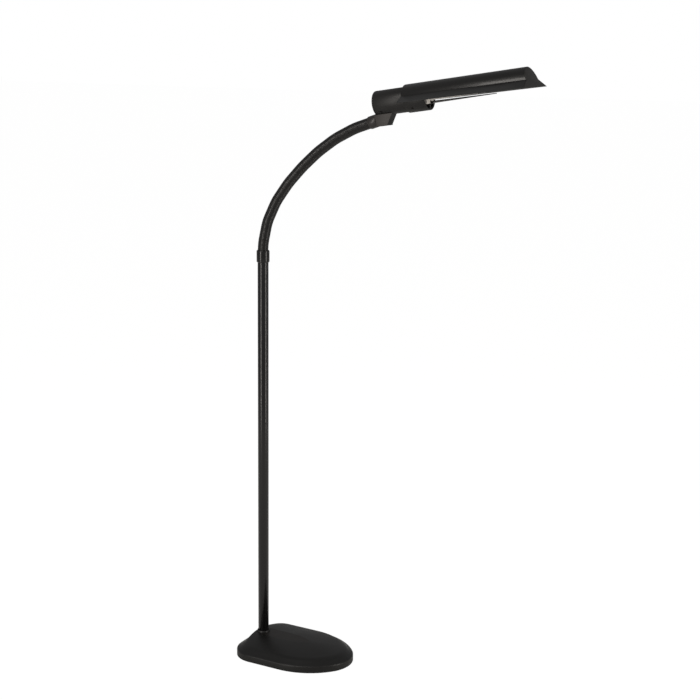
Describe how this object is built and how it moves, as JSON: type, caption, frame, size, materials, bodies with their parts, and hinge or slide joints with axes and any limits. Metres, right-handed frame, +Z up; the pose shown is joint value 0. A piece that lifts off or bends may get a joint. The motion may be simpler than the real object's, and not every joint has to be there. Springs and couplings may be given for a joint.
{
  "type": "gooseneck reading floor lamp",
  "caption": "Floor-standing reading lamp: weighted oval base, slim pole, ribbed bending neck and a slender winged shade over a twin-leg lamp tube.",
  "frame": {"origin": "on the floor, on the axis of the pole", "axes": "+X towards the lamp head and the nose of the base, +Y to the side, +Z up"},
  "size_m": [0.6047, 0.18, 1.2263],
  "materials": {
    "black_paint": "satin black enamel",
    "black_plastic": "satin moulded plastic",
    "shade_black": "gloss black",
    "end_grey": "dark grey",
    "iron": "as cast",
    "plate_steel": "black",
    "pad": "fine grain",
    "zinc": "zinc plated",
    "screw_dark": "blackened",
    "white_plastic": "white",
    "button_black": "black",
    "board": "circuit board",
    "choke": "varnished core",
    "tube_glass": "phosphor coated, unlit",
    "mirror_white": "bright"
  },
  "bodies": {
    "stand": {"base_cover": "black_plastic", "base_ballast": "iron", "base_plate": "plate_steel", "base_pad": "pad", "base_screw_1": "zinc", "base_screw_2": "zinc", "base_screw_3": "zinc", "base_screw_4": "zinc", "cord_inlet": "black_plastic", "pole": "black_paint", "pole_insert": "zinc", "pole_washer": "zinc", "pole_bolt": "zinc", "foot_ring": "black_paint", "neck_collar": "black_paint", "pole_top_plug": "zinc", "neck_root": "black_paint"},
    "link_01": {"neck_link_01": "black_paint"},
    "link_02": {"neck_link_02": "black_paint"},
    "link_03": {"neck_link_03": "black_paint"},
    "link_04": {"neck_link_04": "black_paint"},
    "link_05": {"neck_link_05": "black_paint"},
    "link_06": {"neck_link_06": "black_paint"},
    "link_07": {"neck_link_07": "black_paint"},
    "link_08": {"neck_link_08": "black_paint"},
    "link_09": {"neck_link_09": "black_paint"},
    "link_10": {"neck_link_10": "black_paint"},
    "link_11": {"neck_link_11": "black_paint"},
    "link_12": {"neck_link_12": "black_paint"},
    "link_13": {"neck_link_13": "black_paint"},
    "link_14": {"neck_link_14": "black_paint"},
    "link_15": {"neck_link_15": "black_paint"},
    "head": {"neck_tip": "black_paint", "neck_ferrule": "black_paint", "head_bracket": "black_plastic", "housing_shell": "black_plastic", "housing_screw_1": "screw_dark", "housing_screw_2": "screw_dark", "housing_cap": "black_plastic", "switch_body": "white_plastic", "ballast_board": "board", "ballast_choke": "choke", "lamp_sleeve": "black_plastic", "sleeve_screw_1": "screw_dark", "sleeve_screw_2": "screw_dark", "lamp_holder": "white_plastic", "lamp_base": "white_plastic", "lamp_tube": "tube_glass", "lamp_guard": "black_paint"},
    "hood": {"shade": "shade_black", "shade_end_plate": "end_grey", "reflector": "mirror_white"},
    "button": {"switch_button": "button_black"}
  },
  "joints": [
    {"name": "neck_bend_1", "type": "hinge", "parent": "stand", "child": "link_01", "pos_m": [0, 0, 0.865], "axis": [0, 1, 0], "range_deg": [-12.5, 10.5]},
    {"name": "neck_sway_1", "type": "hinge", "parent": "link_01", "child": "link_02", "pos_m": [0.00508, 0, 0.88789], "axis": [0.9763, 0, -0.2164], "range_deg": [-8, 8]},
    {"name": "neck_bend_2", "type": "hinge", "parent": "link_02", "child": "link_03", "pos_m": [0.01015, 0, 0.91079], "axis": [0, 1, 0], "range_deg": [-13.51, 11.35]},
    {"name": "neck_sway_2", "type": "hinge", "parent": "link_03", "child": "link_04", "pos_m": [0.02043, 0, 0.93187], "axis": [0.8988, 0, -0.4384], "range_deg": [-8.01, 8.01]},
    {"name": "neck_bend_3", "type": "hinge", "parent": "link_04", "child": "link_05", "pos_m": [0.03071, 0, 0.95294], "axis": [0, 1, 0], "range_deg": [-10.51, 8.83]},
    {"name": "neck_sway_3", "type": "hinge", "parent": "link_05", "child": "link_06", "pos_m": [0.04466, 0, 0.97179], "axis": [0.8039, 0, -0.5948], "range_deg": [-8.01, 8.01]},
    {"name": "neck_bend_4", "type": "hinge", "parent": "link_06", "child": "link_07", "pos_m": [0.05861, 0, 0.99064], "axis": [0, 1, 0], "range_deg": [-7.01, 5.89]},
    {"name": "neck_sway_4", "type": "hinge", "parent": "link_07", "child": "link_08", "pos_m": [0.07475, 0, 1.00765], "axis": [0.7254, 0, -0.6884], "range_deg": [-8.01, 8.01]},
    {"name": "neck_bend_5", "type": "hinge", "parent": "link_08", "child": "link_09", "pos_m": [0.09089, 0, 1.02466], "axis": [0, 1, 0], "range_deg": [-5.01, 4.21]},
    {"name": "neck_sway_5", "type": "hinge", "parent": "link_09", "child": "link_10", "pos_m": [0.10845, 0, 1.0402], "axis": [0.6626, 0, -0.749], "range_deg": [-8.01, 8.01]},
    {"name": "neck_bend_6", "type": "hinge", "parent": "link_10", "child": "link_11", "pos_m": [0.12602, 0, 1.05574], "axis": [0, 1, 0], "range_deg": [-6.51, 5.47]},
    {"name": "neck_sway_6", "type": "hinge", "parent": "link_11", "child": "link_12", "pos_m": [0.14523, 0, 1.06919], "axis": [0.5736, 0, -0.8192], "range_deg": [-8.01, 8.01]},
    {"name": "neck_bend_7", "type": "hinge", "parent": "link_12", "child": "link_13", "pos_m": [0.16444, 0, 1.08264], "axis": [0, 1, 0], "range_deg": [-8.01, 6.73]},
    {"name": "neck_sway_7", "type": "hinge", "parent": "link_13", "child": "link_14", "pos_m": [0.18533, 0, 1.09329], "axis": [0.454, 0, -0.891], "range_deg": [-8.01, 8.01]},
    {"name": "neck_bend_8", "type": "hinge", "parent": "link_14", "child": "link_15", "pos_m": [0.20622, 0, 1.10393], "axis": [0, 1, 0], "range_deg": [-8.01, 6.73]},
    {"name": "neck_sway_8", "type": "hinge", "parent": "link_15", "child": "head", "pos_m": [0.2284, 0, 1.11157], "axis": [0.3256, 0, -0.9455], "range_deg": [-8.01, 8.01]},
    {"name": "shade_turn", "type": "hinge", "parent": "head", "child": "hood", "pos_m": [0.43884, 0, 1.18071], "axis": [0.9882, 0, 0.153], "range_deg": [-90, 90]},
    {"name": "switch_press", "type": "slide", "parent": "head", "child": "button", "axis": [0.9882, 0, 0.153], "range_m": [0, 0.0015], "stiffness_N_per_m": 300, "springref_m": -0.001}
  ],
  "couplings": [
    {"joint": "neck_bend_2", "follows": "neck_bend_1", "ratio": 1.08},
    {"joint": "neck_sway_2", "follows": "neck_sway_1", "ratio": 1},
    {"joint": "neck_bend_3", "follows": "neck_bend_1", "ratio": 0.84},
    {"joint": "neck_sway_3", "follows": "neck_sway_1", "ratio": 1},
    {"joint": "neck_bend_4", "follows": "neck_bend_1", "ratio": 0.56},
    {"joint": "neck_sway_4", "follows": "neck_sway_1", "ratio": 1},
    {"joint": "neck_bend_5", "follows": "neck_bend_1", "ratio": 0.4},
    {"joint": "neck_sway_5", "follows": "neck_sway_1", "ratio": 1},
    {"joint": "neck_bend_6", "follows": "neck_bend_1", "ratio": 0.52},
    {"joint": "neck_sway_6", "follows": "neck_sway_1", "ratio": 1},
    {"joint": "neck_bend_7", "follows": "neck_bend_1", "ratio": 0.64},
    {"joint": "neck_sway_7", "follows": "neck_sway_1", "ratio": 1},
    {"joint": "neck_bend_8", "follows": "neck_bend_1", "ratio": 0.64},
    {"joint": "neck_sway_8", "follows": "neck_sway_1", "ratio": 1}
  ]
}
